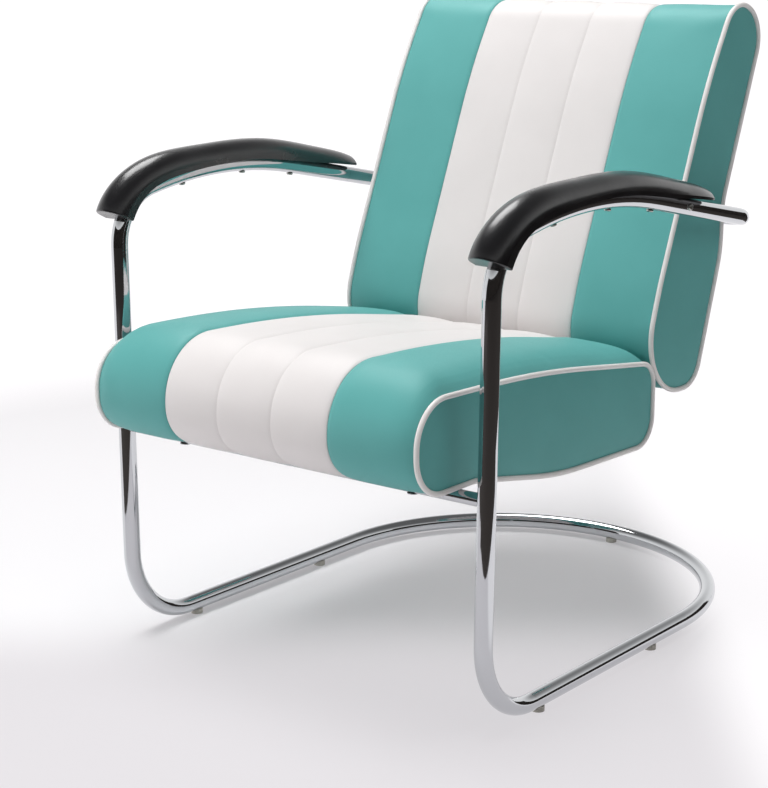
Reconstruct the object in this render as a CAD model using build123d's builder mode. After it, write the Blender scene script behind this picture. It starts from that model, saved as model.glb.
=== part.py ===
from build123d import *
from dataclasses import dataclass
from math import atan2, cos, hypot, radians, sin, sqrt, tan
import os

# Cantilever lounge chair: a bent chromed tube frame, two upholstered cushions and lacquered armrests.
# X runs across the chair, Y from front to back and Z up from the floor. The origin lies on the floor,
# in the middle of the chair's outer box. Sizes are in millimetres and degrees.

# Tube frame
tube_d = 22.0
tube_wall = 2.0
frame_width = 560.0
base_length = 739.0
front_bend_r = 100.0
base_joint_run = 120.0
leg_splay = 0.8
leg_top = 504.5
arm_bend_r = 72.0
arm_crown_r = 680.0
arm_rise = 12.0
arm_fall = 11.4
back_rail_bend_r = 50.0
back_rail_arm_run = 152.0
seat_rail_d = 16.0
seat_rail_wall = 2.0
seat_rail_z = 289.5
spigot_length = 110.0
spigot_fit = 0.3
tube_joint_gap = 0.1

# Floor glides
glide_d = 16.0
glide_height = 5.0
glide_stem_d = 6.0
glide_stem_reach = 3.0
front_glide_y = 118.0
rear_glide_y = 380.0

# Armrests and their screws. The profile gives turns along the arm and the top's height over the tube's axis.
armrest_half_width = 24.5
armrest_seat = 6.0
armrest_lip_r = 2.0
armrest_profile = ((26.0, 40.0), (45.0, 38.6), (70.0, 36.4), (84.0, 34.2), (94.0, 32.6))
armrest_arm_height = 32.1
armrest_mid_height = 31.3
armrest_rear_height = 29.8
armrest_rear_lift = 6.0
armrest_nose_height = 26.5
armrest_nose_length = 28.0
armrest_overhang = 3.0
armrest_nose_lift = 7.5
armrest_nose_half_width = 20.0
armrest_nose_r = 6.0
armrest_round = 0.9
armrest_round_limit = 0.8
armrest_groove_fit = 0.2
armrest_screw_turns = (83.0, 93.0, 101.5)
screw_d = 4.0
screw_head_d = 9.0
screw_head_h = 3.0
screw_head_r = 2.4
head_taper = 28.0
screw_hole_fit = 0.2
screw_head_fit = 0.1
armrest_screw_bite = 14.0
spigot_screw_inset = 42.0

# Cushions, both sewn alike. The crown profile gives distances in from the side seam and the share of the full
# crown there.
cushion_gap = 21.0
stripe_width = 122.0
cover_t = 3.0
piping_d = 6.5
crown_profile = ((0.0, 0.0), (14.0, 0.6), (40.0, 0.91), (73.0, 0.99))
seam_crown = 0.97
seam_tuck = 1.8
foam_crown = 0.9
side_crown = 8.0
side_shoulder = 4.5
side_draw_in = 19.0
soft_fit = 0.3
rest_fit = 0.6

# Seat cushion, seen from the side, from the leg's axis and from the face that rests on the seat rail
seat_overhang = 84.0
seat_reach = 421.0
seat_tilt = 5.2
seat_nose_height = 111.0
seat_thickness = 104.5
seat_crown_y = 150.0
seat_rear_thickness = 106.0
seat_rest_run = 28.0
seat_belly_y = 200.0
seat_belly_depth = 14.0
seat_nose_r = 52.0
seat_chin_r = 48.0
seat_top_r = 1900.0
seat_rear_top_r = 30.0
seat_rear_bottom_r = 36.0
seat_belly_r = 700.0
seat_rest_r = 60.0
seat_nose_swell = 9.5
seat_top_swell = 28.0
seat_rear_top_swell = 20.0

# Back cushion, seen from the side, from the seat's upper rear corner
back_foot_drop = 47.0
back_foot_depth = 146.0
back_foot_lean = 18.0
back_waist_rise = 96.0
back_lean = 22.7
back_knee_rise = 348.0
back_upper_lean = 31.0
back_rise = 460.0
back_top_depth = 88.0
back_top_slope = 26.5
back_rear_lean = 22.1
back_hollow_up = 20.0
back_hollow_down = 44.0
back_toe_r = 78.0
back_waist_r = 600.0
back_knee_r = 800.0
back_top_r = 46.0
back_hollow_r = 80.0
back_hip_r = 130.0
back_heel_r = 40.0
back_front_swell = 4.0
back_top_swell = -2.0
back_rear_swell = 5.0

# Boards inside the cushions, their bolts and the brackets that join them
board_t = 15.0
board_edge = 26.0
seat_board_front = 48.0
seat_board_end = 36.0
seat_board_pad = 3.0
back_board_pad = 14.0
back_board_foot = 24.0
back_board_head = 66.0
hardware_inset = 68.0
bolt_d = 6.0
bolt_head_d = 13.0
bolt_head_h = 4.0
bolt_fit = 0.3
tee_flange_d = 19.0
tee_flange_t = 1.5
tee_barrel_d = 8.0
tee_barrel_l = 11.0
sleeve_d = 16.0
bracket_t = 4.0
bracket_w = 30.0
bracket_bend_r = 16.0
bracket_seat_leg = 135.0
bracket_back_leg = 175.0
bracket_slot_fit = 0.5
bracket_screw_end = 14.0
bracket_screw_pitch = 28.0
bracket_screw_bite = 12.0

tube_r = tube_d / 2
tube_bore_r = tube_r - tube_wall
seat_rail_r = seat_rail_d / 2
piping_r = piping_d / 2
base_z = glide_height + tube_r
leg_y = -(base_length + tube_r - seat_overhang - seat_nose_swell) / 2
screw_r = screw_d / 2
bolt_r = bolt_d / 2
cushion_half_width = frame_width / 2 - tube_r - cushion_gap
centre_half_width = cushion_half_width - stripe_width
channel_half_width = centre_half_width / 3
board_half_width = cushion_half_width - board_edge
hardware_x = cushion_half_width - hardware_inset

# The right side frame lies in a plane that leans outwards about the floor rail's axis
right_side = Plane(
    origin=(frame_width / 2, leg_y, base_z),
    x_dir=(0, 1, 0),
    z_dir=(cos(radians(leg_splay)), 0, -sin(radians(leg_splay))),
)
arm_bend_centre = (arm_bend_r, leg_top)
arm_crown_centre = (
    arm_bend_r + (arm_crown_r - arm_bend_r) * sin(radians(arm_rise)),
    leg_top - (arm_crown_r - arm_bend_r) * cos(radians(arm_rise)),
)


def arm_frame(turn, run=0.0):
    """Point on the right arm's axis, its direction and its outward normal.

    turn is how far the tube has turned from the leg's upward direction, in degrees,
    and run is a straight distance past that point."""
    ahead, out = sin(radians(turn)), cos(radians(turn))
    tangent = right_side.x_dir * ahead + right_side.y_dir * out
    normal = right_side.y_dir * ahead - right_side.x_dir * out
    centre, radius = arm_crown_centre, arm_crown_r
    if turn < 90 - arm_rise:
        centre, radius = arm_bend_centre, arm_bend_r
    point = right_side.from_local_coords(Vector(*centre)) + normal * radius + tangent * run
    return point, tangent, normal


def save(piece, name):
    """Label a finished piece and write it to its own file."""
    piece.label = name
    export_step(piece, f"parts/{name}.step")


@dataclass(frozen=True)
class Cushion:
    """Side outline of a cushion: its corners in clockwise order, the radius at each corner, and how far the
    sides before and after the corner stand out there at full crown."""

    corners: list
    radii: list
    swells: list

    def outline(self, crown=0.0, tuck=0.0):
        """Corners and radii with the sides swollen by a share of the full crown, then drawn in by tuck."""
        normals = []
        for (y0, z0), (y1, z1) in zip(self.corners, self.corners[1:] + self.corners[:1]):
            length = hypot(y1 - y0, z1 - z0)
            normals.append(((z0 - z1) / length, (y1 - y0) / length))
        corners, radii = [], []
        for i, (y, z) in enumerate(self.corners):
            (ay, az), (by, bz) = normals[i - 1], normals[i]
            a, b = (crown * swell - tuck for swell in self.swells[i])
            turn = ay * bz - az * by
            corners.append((y + (a * bz - b * az) / turn, z + (b * ay - a * by) / turn))
            radii.append(self.radii[i] + max(a, b) * (1 if turn < 0 else -1))
        return corners, radii

    def section(self, x, crown=0.0, tuck=0.0):
        """Face of the outline across the chair at x."""
        corners, radii = self.outline(crown, tuck)
        with BuildSketch(Plane.YZ.offset(x)) as section:
            with BuildLine():
                FilletPolyline(*corners, radius=radii, close=True)
            make_face()
        return section.sketch


# Seat outline, from the nose's upper corner and on over the top
rest_z = seat_rail_z + seat_rail_r + rest_fit + piping_r
seat_rear_bottom_z = rest_z - seat_reach * tan(radians(seat_tilt))
seat_hinge = (leg_y + seat_reach, seat_rear_bottom_z + seat_rear_thickness)
seat = Cushion(
    corners=[
        (leg_y - seat_overhang, rest_z + seat_nose_height),
        (leg_y + seat_crown_y, rest_z + seat_thickness),
        seat_hinge,
        (leg_y + seat_reach, seat_rear_bottom_z),
        (leg_y + seat_belly_y, rest_z - seat_belly_y * tan(radians(seat_tilt)) - seat_belly_depth),
        (leg_y + seat_rest_run, rest_z),
        (leg_y - seat_overhang, rest_z),
    ],
    radii=[
        seat_nose_r, seat_top_r, seat_rear_top_r, seat_rear_bottom_r, seat_belly_r, seat_rest_r, seat_chin_r
    ],
    swells=[
        (seat_nose_swell, seat_top_swell),
        (seat_top_swell, seat_top_swell),
        (seat_rear_top_swell, 0.0),
        (0.0, piping_r),
        (piping_r, piping_r),
        (piping_r, piping_r),
        (piping_r, seat_nose_swell),
    ],
)

# Back outline, from the lower front corner and on up the front. The piping round its lower front corner
# meets the piping round the seat's upper rear corner. Its rear face has a hollow where the back rail
# presses on it: the hollow's place is where the rear face meets the height of the arms' line.
hinge_y, hinge_z = seat_hinge
seat_fall = atan2(rest_z + seat_thickness - hinge_z, seat_reach - seat_crown_y)
seat_corner_y = hinge_y - seat_rear_top_r
seat_corner_z = hinge_z + seat_rear_top_r * (tan(seat_fall) - 1 / cos(seat_fall))
foot_z = hinge_z - back_foot_drop
toe_centre_z = foot_z + back_toe_r
corner_distance = seat_rear_top_r + back_toe_r + piping_d + soft_fit
toe_centre_y = seat_corner_y + sqrt(corner_distance**2 - (toe_centre_z - seat_corner_z) ** 2)
toe_y = toe_centre_y - back_toe_r / tan(radians(90 - back_foot_lean) / 2)
waist_z = hinge_z + back_waist_rise
waist_y = toe_y + tan(radians(back_foot_lean)) * (waist_z - foot_z)
knee_z = hinge_z + back_knee_rise
knee_y = waist_y + tan(radians(back_lean)) * (knee_z - waist_z)
head_z = hinge_z + back_rise
head_y = knee_y + tan(radians(back_upper_lean)) * (head_z - knee_z)
crest_y = head_y + back_top_depth * cos(radians(back_top_slope))
crest_z = head_z - back_top_depth * sin(radians(back_top_slope))
fall_start = arm_frame(90 + arm_fall)[0]
rear_slope = tan(radians(back_rear_lean))
fall_slope = tan(radians(arm_fall))
rail_offset = back_rear_swell + rest_fit + tube_r
hollow_y = crest_y + rear_slope * (
    fall_start.Z - fall_slope * (rail_offset - fall_start.Y) + back_hollow_up - crest_z
)
hollow_y = hollow_y / (1 + rear_slope * fall_slope)
rail_y = hollow_y + rail_offset
rail_z = fall_start.Z - fall_slope * (rail_y - fall_start.Y)
back = Cushion(
    corners=[
        (toe_y, foot_z),
        (waist_y, waist_z),
        (knee_y, knee_z),
        (head_y, head_z),
        (crest_y, crest_z),
        (hollow_y, rail_z + back_hollow_up),
        (hollow_y, rail_z - back_hollow_down),
        (toe_y + back_foot_depth, foot_z),
    ],
    radii=[
        back_toe_r, back_waist_r, back_knee_r, back_top_r, back_top_r, back_hollow_r, back_hip_r, back_heel_r
    ],
    swells=[
        (0.0, 0.0),
        (back_front_swell, back_front_swell),
        (back_front_swell, back_front_swell),
        (back_front_swell, back_top_swell),
        (back_top_swell, back_rear_swell),
        (back_rear_swell, back_rear_swell),
        (back_rear_swell, back_rear_swell),
        (back_rear_swell, 0.0),
    ],
)

# Side tubes: a short stretch of floor rail, the front bend, the leg and the arm as far as its joint
joint_y = rail_y - back_rail_arm_run
arm_rear_run = (joint_y - fall_start.Y) / cos(radians(arm_fall))
with BuildLine(right_side) as side_path:
    rail_stub = Line((front_bend_r + base_joint_run, 0), (front_bend_r, 0))
    front_bend = JernArc(rail_stub @ 1, rail_stub % 1, front_bend_r, -90)
    leg_line = Line(front_bend @ 1, (0, leg_top))
with BuildLine(right_side) as arm_path:
    arm_bend = JernArc(leg_line @ 1, leg_line % 1, arm_bend_r, arm_rise - 90)
    arm_crown = JernArc(arm_bend @ 1, arm_bend % 1, arm_crown_r, -arm_rise - arm_fall)
    arm_rear = Line(arm_crown @ 1, arm_crown @ 1 + (arm_crown % 1) * arm_rear_run)
joint_point = arm_rear @ 1
spigot_screw_run = arm_rear_run - spigot_screw_inset
screw_planes = []
for turn in armrest_screw_turns:
    point, tangent, normal = arm_frame(turn)
    screw_planes.append(Plane(point, x_dir=tangent, z_dir=normal))
spigot_screw_plane = Plane(
    arm_frame(90 + arm_fall, spigot_screw_run)[0], x_dir=(0, 1, 0), z_dir=right_side.z_dir
)

with BuildPart() as right_side_tube:
    with BuildSketch(Plane(rail_stub @ 0, z_dir=rail_stub % 0)):
        Circle(tube_r)
        Circle(tube_bore_r, mode=Mode.SUBTRACT)
    sweep(path=Wire(side_path.edges() + arm_path.edges()))
    for plane in screw_planes:
        with BuildSketch(plane):
            Circle(screw_r + screw_hole_fit)
        extrude(amount=tube_d, both=True, mode=Mode.SUBTRACT)
    with BuildSketch(spigot_screw_plane):
        Circle(screw_r + screw_hole_fit)
    extrude(amount=tube_d, mode=Mode.SUBTRACT)
    with BuildSketch(Plane((frame_width / 2, leg_y + front_glide_y, 0))):
        Circle(glide_stem_d / 2)
    extrude(amount=base_z, mode=Mode.SUBTRACT)
with BuildPart() as left_side_tube:
    mirror(right_side_tube.part, about=Plane.YZ)
save(right_side_tube.part, "right_side_tube")
save(left_side_tube.part, "left_side_tube")

# Base hoop: two floor rails and the half round at the rear
base_joint_y = leg_y + front_bend_r + base_joint_run + tube_joint_gap
hoop_centre_y = leg_y + base_length - frame_width / 2
with BuildLine(Plane.XY.offset(base_z)) as hoop_path:
    right_rail = Line((frame_width / 2, base_joint_y), (frame_width / 2, hoop_centre_y))
    hoop_right = JernArc(right_rail @ 1, right_rail % 1, frame_width / 2, 90)
    hoop_left = JernArc(hoop_right @ 1, hoop_right % 1, frame_width / 2, 90)
    Line(hoop_left @ 1, (-frame_width / 2, base_joint_y))
hoop_glides = [
    (frame_width / 2, leg_y + rear_glide_y),
    (-frame_width / 2, leg_y + rear_glide_y),
    (0, leg_y + base_length),
]
with BuildPart() as base_hoop:
    with BuildSketch(Plane(right_rail @ 0, z_dir=(0, 1, 0))):
        Circle(tube_r)
        Circle(tube_bore_r, mode=Mode.SUBTRACT)
    sweep(path=hoop_path.wire())
    with BuildSketch():
        with Locations(*hoop_glides):
            Circle(glide_stem_d / 2)
    extrude(amount=base_z, mode=Mode.SUBTRACT)
save(base_hoop.part, "base_hoop")

# Back rail: a U that continues both arms and passes behind the back cushion
rail_plane = Plane(
    origin=(0, rail_y, rail_z),
    x_dir=(1, 0, 0),
    z_dir=(0, sin(radians(arm_fall)), cos(radians(arm_fall))),
)
joint_x = joint_point.X
joint_run = back_rail_arm_run / cos(radians(arm_fall)) - tube_joint_gap
with BuildLine(rail_plane) as rail_path:
    FilletPolyline(
        (joint_x, -joint_run), (joint_x, 0), (-joint_x, 0), (-joint_x, -joint_run), radius=back_rail_bend_r
    )
back_plane = Plane(
    origin=(0, rail_y, rail_z),
    x_dir=(1, 0, 0),
    z_dir=(0, -cos(radians(back_rear_lean)), sin(radians(back_rear_lean))),
)
hardware_points = [(-hardware_x, 0), (hardware_x, 0)]
with BuildPart() as back_rail:
    with BuildSketch(Plane(rail_path.wire() @ 0, z_dir=rail_path.wire() % 0)):
        Circle(tube_r)
        Circle(tube_bore_r, mode=Mode.SUBTRACT)
    sweep(path=rail_path.wire())
    with BuildSketch(back_plane):
        with Locations(*hardware_points):
            Circle(bolt_r + bolt_fit)
    extrude(amount=tube_d, both=True, mode=Mode.SUBTRACT)
save(back_rail.part, "back_rail")

# Seat rail: a straight tube, cut to fit round the legs at its ends
seat_plane = Plane(
    origin=(0, leg_y, seat_rail_z),
    x_dir=(1, 0, 0),
    z_dir=(0, sin(radians(seat_tilt)), cos(radians(seat_tilt))),
)
with BuildPart() as seat_rail:
    with BuildSketch(Plane.YZ):
        with Locations((leg_y, seat_rail_z)):
            Circle(seat_rail_r)
            Circle(seat_rail_r - seat_rail_wall, mode=Mode.SUBTRACT)
    extrude(amount=frame_width / 2 + seat_rail_z * tan(radians(leg_splay)), both=True)
    with BuildSketch(Plane(front_bend @ 1, z_dir=leg_line % 0)):
        Circle(tube_r)
    extrude(amount=leg_top, mode=Mode.SUBTRACT)
    split(bisect_by=Plane.YZ, keep=Keep.TOP)
    mirror(about=Plane.YZ)
    with BuildSketch(seat_plane):
        with Locations(*hardware_points):
            Circle(bolt_r + bolt_fit)
    extrude(amount=tube_d, both=True, mode=Mode.SUBTRACT)
save(seat_rail.part, "seat_rail")

# Spigots inside the tube joints, and the screws that lock the upper ones
with BuildPart() as base_spigots:
    with BuildSketch(Plane.XZ.offset(-base_joint_y - spigot_length / 2)):
        with Locations((frame_width / 2, base_z), (-frame_width / 2, base_z)):
            Circle(tube_bore_r - spigot_fit)
    extrude(amount=spigot_length)
save(base_spigots.part, "base_spigots")

with BuildPart() as arm_spigots:
    with BuildSketch(Plane(joint_point, z_dir=arm_rear % 1)):
        Circle(tube_bore_r - spigot_fit)
    extrude(amount=spigot_length / 2, both=True)
    with BuildSketch(spigot_screw_plane):
        Circle(screw_r)
    extrude(amount=tube_r, mode=Mode.SUBTRACT)
    mirror(about=Plane.YZ)
save(arm_spigots.part, "arm_spigots")

with BuildPart() as arm_spigot_screws:
    with BuildSketch(spigot_screw_plane):
        Circle(screw_r)
    extrude(amount=tube_r)
    with BuildSketch(spigot_screw_plane.offset(tube_r)):
        Circle(screw_head_d / 2)
    extrude(amount=screw_head_h)
    fillet(arm_spigot_screws.edges().group_by(Axis.X)[-1], screw_head_r)
    mirror(about=Plane.YZ)
save(arm_spigot_screws.part, "arm_spigot_screws")

# Floor glides: a pad hollowed to the tube, with a stem pressed into the tube's lower wall
side_glides = [(x, leg_y + front_glide_y) for x in (frame_width / 2, -frame_width / 2)]
with BuildPart() as floor_glides:
    with BuildSketch():
        with Locations(*side_glides, *hoop_glides):
            Circle(glide_d / 2)
    extrude(amount=glide_height + tube_wall)
    with BuildSketch(Plane.XZ):
        with Locations((frame_width / 2, base_z), (-frame_width / 2, base_z)):
            Circle(tube_r)
    extrude(amount=base_length, both=True, mode=Mode.SUBTRACT)
    with BuildSketch(Plane((0, leg_y + base_length, base_z), x_dir=(0, 1, 0), z_dir=(1, 0, 0))):
        Circle(tube_r)
    extrude(amount=glide_d, both=True, mode=Mode.SUBTRACT)
    with BuildSketch():
        with Locations(*side_glides, *hoop_glides):
            Circle(glide_stem_d / 2)
    extrude(amount=glide_height + tube_wall + glide_stem_reach)
save(floor_glides.part, "floor_glides")

# Armrests: a rounded section that follows the tube, deepest at the front, and narrows to a nose at the rear
rear_turn = 90 + arm_fall
armrest_nose_run = arm_rear_run + armrest_overhang
armrest_rear_run = armrest_nose_run - armrest_nose_length
armrest_stations = [
    *((turn, 0.0, armrest_seat, top, armrest_half_width) for turn, top in armrest_profile),
    (rear_turn, 0.0, armrest_seat, armrest_arm_height, armrest_half_width),
    (rear_turn, armrest_rear_run / 2, armrest_seat + armrest_rear_lift / 2, armrest_mid_height,
     armrest_half_width),
    (rear_turn, armrest_rear_run, armrest_seat + armrest_rear_lift, armrest_rear_height, armrest_half_width),
    (rear_turn, armrest_nose_run, armrest_seat + armrest_nose_lift, armrest_nose_height,
     armrest_nose_half_width),
]


def armrest_section(turn, run, underside, top, half_width):
    """Section of the right armrest: a flat underside, short upright sides and a rounded top."""
    point, tangent, normal = arm_frame(turn, run)
    round_h = min(armrest_round * half_width, armrest_round_limit * (top - underside))
    shoulder = top - round_h
    with BuildSketch(Plane(point, x_dir=-right_side.z_dir, z_dir=tangent)) as section:
        with BuildLine():
            Polyline((-half_width, shoulder), (-half_width, underside), (half_width, underside),
                     (half_width, shoulder))
            ThreePointArc((half_width, shoulder), (0, top), (-half_width, shoulder))
        make_face()
    return section.sketch


with BuildPart() as right_armrest:
    loft([armrest_section(*station) for station in armrest_stations])
    fillet(right_armrest.faces().sort_by(Axis.Y)[0].edges(), armrest_lip_r)
    fillet(right_armrest.faces().sort_by(Axis.Y)[-1].edges().sort_by(Axis.Z)[1:], armrest_nose_r)
    with BuildSketch(Plane(leg_line @ 1, z_dir=leg_line % 1)) as groove:
        Circle(tube_r + armrest_groove_fit)
    sweep(groove.sketch, path=arm_path.wire(), mode=Mode.SUBTRACT)
    for plane in screw_planes:
        with BuildSketch(plane):
            Circle(screw_r)
        extrude(amount=tube_r + armrest_screw_bite, mode=Mode.SUBTRACT)
with BuildPart() as left_armrest:
    mirror(right_armrest.part, about=Plane.YZ)
save(right_armrest.part, "right_armrest")
save(left_armrest.part, "left_armrest")

with BuildPart() as right_armrest_screws:
    for plane in screw_planes:
        head_plane = plane.offset(-tube_r - screw_head_fit)
        with BuildSketch(head_plane):
            Circle(screw_head_d / 2)
        extrude(amount=-screw_head_h, taper=head_taper)
        with BuildSketch(head_plane):
            Circle(screw_r)
        extrude(amount=screw_head_fit + tube_d + armrest_screw_bite)
with BuildPart() as left_armrest_screws:
    mirror(right_armrest_screws.part, about=Plane.YZ)
save(right_armrest_screws.part, "right_armrest_screws")
save(left_armrest_screws.part, "left_armrest_screws")

# Boards, tee nuts, bolts and sleeves. The seat plane stands on the seat rail's axis, square to the seat
# board, and the back plane on the back rail's axis, square to the back board.
seat_board_w = seat_rail_r + rest_fit + piping_r + cover_t + seat_board_pad
seat_board_back = seat_reach - seat_board_end
rail_to_rear_face = (
    rail_offset * cos(radians(back_rear_lean)) + back_hollow_up * sin(radians(back_rear_lean))
)
back_board_w = rail_to_rear_face + back_board_pad
board_root_z = rail_z + back_board_w * sin(radians(back_rear_lean))
back_board_low = (foot_z + back_board_foot - board_root_z) / cos(radians(back_rear_lean))
back_board_high = (crest_z - back_board_head + back_top_r / 2 - board_root_z) / cos(radians(back_rear_lean))


def board_blank(plane, low, high):
    """Plain board that lies on a plane, from low to high along it."""
    with BuildPart() as blank:
        with BuildSketch(plane):
            with Locations((0, (low + high) / 2)):
                RectangleRounded(2 * board_half_width, high - low, board_t)
        extrude(amount=board_t)
    return blank.part


def tee_nuts(board_plane):
    """Pair of tee nuts whose flanges lie on the far face of a board."""
    with BuildPart() as nuts:
        with BuildSketch(board_plane.offset(board_t)):
            with Locations(*hardware_points):
                Circle(tee_flange_d / 2)
        extrude(amount=tee_flange_t)
        with BuildSketch(board_plane.offset(board_t - tee_barrel_l)):
            with Locations(*hardware_points):
                Circle(tee_barrel_d / 2)
        extrude(amount=tee_barrel_l)
        with BuildSketch(board_plane):
            with Locations(*hardware_points):
                Circle(bolt_r)
        extrude(amount=board_t + tee_flange_t, mode=Mode.SUBTRACT)
    return nuts.part


def bolts(head_plane, length):
    """Pair of round-headed bolts, with the heads below head_plane."""
    with BuildPart() as pair:
        with BuildSketch(head_plane):
            with Locations(*hardware_points):
                Circle(bolt_head_d / 2)
        extrude(amount=-bolt_head_h, taper=head_taper)
        with BuildSketch(head_plane):
            with Locations(*hardware_points):
                Circle(bolt_r)
        extrude(amount=length)
    return pair.part


seat_board_plane = seat_plane.offset(seat_board_w)
back_board_plane = back_plane.offset(back_board_w)
seat_blank = board_blank(seat_board_plane, -seat_board_front, seat_board_back)
back_blank = board_blank(back_board_plane, back_board_low, back_board_high)
seat_tee_nuts = tee_nuts(seat_board_plane)
back_tee_nuts = tee_nuts(back_board_plane)
seat_bolts = bolts(seat_plane.offset(-seat_rail_r), seat_rail_r + seat_board_w + board_t + tee_flange_t)
back_bolts = bolts(back_plane.offset(-tube_r), tube_r + back_board_w + board_t + tee_flange_t)
with BuildPart() as back_sleeves:
    with BuildSketch(back_plane):
        with Locations(*hardware_points):
            Circle(sleeve_d / 2)
            Circle(bolt_r + bolt_fit, mode=Mode.SUBTRACT)
    extrude(amount=back_board_w)
    with BuildSketch(Plane.YZ):
        with Locations((rail_y, rail_z)):
            Circle(tube_r)
    extrude(amount=cushion_half_width, both=True, mode=Mode.SUBTRACT)

# Brackets: flat steel bent from the top of the seat board up the front of the back board
seat_dir = Vector(cos(radians(seat_tilt)), -sin(radians(seat_tilt)))
back_dir = Vector(sin(radians(back_rear_lean)), cos(radians(back_rear_lean)))
seat_top = Vector(leg_y, seat_rail_z) + Vector(-seat_dir.Y, seat_dir.X) * (seat_board_w + board_t)
back_front = Vector(rail_y, rail_z) + Vector(-back_dir.Y, back_dir.X) * (back_board_w + board_t)
heel_gap = back_front - seat_top
heel_turn = seat_dir.X * back_dir.Y - seat_dir.Y * back_dir.X
heel_run = (heel_gap.X * back_dir.Y - heel_gap.Y * back_dir.X) / heel_turn
heel = seat_top + seat_dir * heel_run


def brackets(fit):
    """Pair of bent brackets, made larger all round by fit."""
    with BuildPart() as pair:
        with BuildSketch(Plane.YZ.offset(hardware_x)):
            with BuildLine():
                flat = FilletPolyline(
                    tuple(heel - seat_dir * bracket_seat_leg)[:2],
                    tuple(heel)[:2],
                    tuple(heel + back_dir * bracket_back_leg)[:2],
                    radius=bracket_bend_r,
                )
                offset(flat, amount=bracket_t, side=Side.LEFT)
            make_face()
            if fit:
                offset(amount=fit)
        extrude(amount=bracket_w / 2 + fit, both=True)
        mirror(about=Plane.YZ)
    return pair.part


def bracket_screws(board_plane, offsets):
    """Screws through one leg of each bracket into its board, at the given places along the leg."""
    points = [(x, along) for x in (-hardware_x, hardware_x) for along in offsets]
    with BuildPart() as screws:
        with BuildSketch(board_plane.offset(board_t + bracket_t)):
            with Locations(*points):
                Circle(screw_head_d / 2)
        extrude(amount=screw_head_h)
        with BuildSketch(board_plane.offset(board_t - bracket_screw_bite)):
            with Locations(*points):
                Circle(screw_r)
        extrude(amount=bracket_screw_bite + bracket_t)
    return screws.part


seat_leg_end = heel_run - bracket_seat_leg
seat_screw_places = [seat_leg_end + bracket_screw_end + i * bracket_screw_pitch for i in range(2)]
back_leg_end = (heel + back_dir * bracket_back_leg - back_front).dot(back_dir)
back_screw_places = [back_leg_end - bracket_screw_end - i * bracket_screw_pitch for i in range(2)]
seat_bracket_screws = bracket_screws(seat_board_plane, seat_screw_places)
back_bracket_screws = bracket_screws(back_board_plane, back_screw_places)
with BuildPart() as seat_back_brackets:
    add(brackets(0.0))
    add(seat_bracket_screws, mode=Mode.SUBTRACT)
    add(back_bracket_screws, mode=Mode.SUBTRACT)
with BuildPart() as seat_board:
    add(seat_blank)
    with BuildSketch(seat_board_plane):
        with Locations(*hardware_points):
            Circle(tee_barrel_d / 2)
    extrude(amount=board_t, mode=Mode.SUBTRACT)
    add(seat_bracket_screws, mode=Mode.SUBTRACT)
with BuildPart() as back_board:
    add(back_blank)
    with BuildSketch(back_board_plane):
        with Locations(*hardware_points):
            Circle(tee_barrel_d / 2)
    extrude(amount=board_t, mode=Mode.SUBTRACT)
    add(back_bracket_screws, mode=Mode.SUBTRACT)
bracket_slots = brackets(bracket_slot_fit)

hardware = {
    "seat_board": seat_board.part,
    "back_board": back_board.part,
    "seat_tee_nuts": seat_tee_nuts,
    "back_tee_nuts": back_tee_nuts,
    "seat_bolts": seat_bolts,
    "back_bolts": back_bolts,
    "back_sleeves": back_sleeves.part,
    "seat_back_brackets": seat_back_brackets.part,
    "seat_bracket_screws": seat_bracket_screws,
    "back_bracket_screws": back_bracket_screws,
}
for name, piece in hardware.items():
    save(piece, name)

# Foam cores: each fills its cover round the board and the hardware in it
cover_end = cushion_half_width - piping_r - soft_fit
foam_half = [(cover_end - inset, foam_crown * crown) for inset, crown in crown_profile]
foam_stations = [*foam_half, *((-x, crown) for x, crown in reversed(foam_half))]


def core(cushion):
    """Foam body of a cushion, a cover's thickness inside it and crowned a little less."""
    with BuildPart() as body:
        loft([cushion.section(x, crown, cover_t) for x, crown in foam_stations], ruled=True)
    return body.part


seat_core = core(seat)
back_core = core(back)
with BuildPart() as seat_foam:
    add(seat_core)
    add(seat_blank, mode=Mode.SUBTRACT)
    add(seat_tee_nuts, mode=Mode.SUBTRACT)
    add(seat_bolts, mode=Mode.SUBTRACT)
    add(seat_bracket_screws, mode=Mode.SUBTRACT)
    add(bracket_slots, mode=Mode.SUBTRACT)
save(seat_foam.part, "seat_foam")

with BuildPart() as sleeve_room:
    with BuildSketch(back_plane):
        with Locations(*hardware_points):
            Circle(sleeve_d / 2)
    extrude(amount=back_board_w)
with BuildPart() as back_foam:
    add(back_core)
    add(back_blank, mode=Mode.SUBTRACT)
    add(back_bolts, mode=Mode.SUBTRACT)
    add(back_tee_nuts, mode=Mode.SUBTRACT)
    add(sleeve_room.part, mode=Mode.SUBTRACT)
    add(back_bracket_screws, mode=Mode.SUBTRACT)
    add(bracket_slots, mode=Mode.SUBTRACT)
save(back_foam.part, "back_foam")

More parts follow.
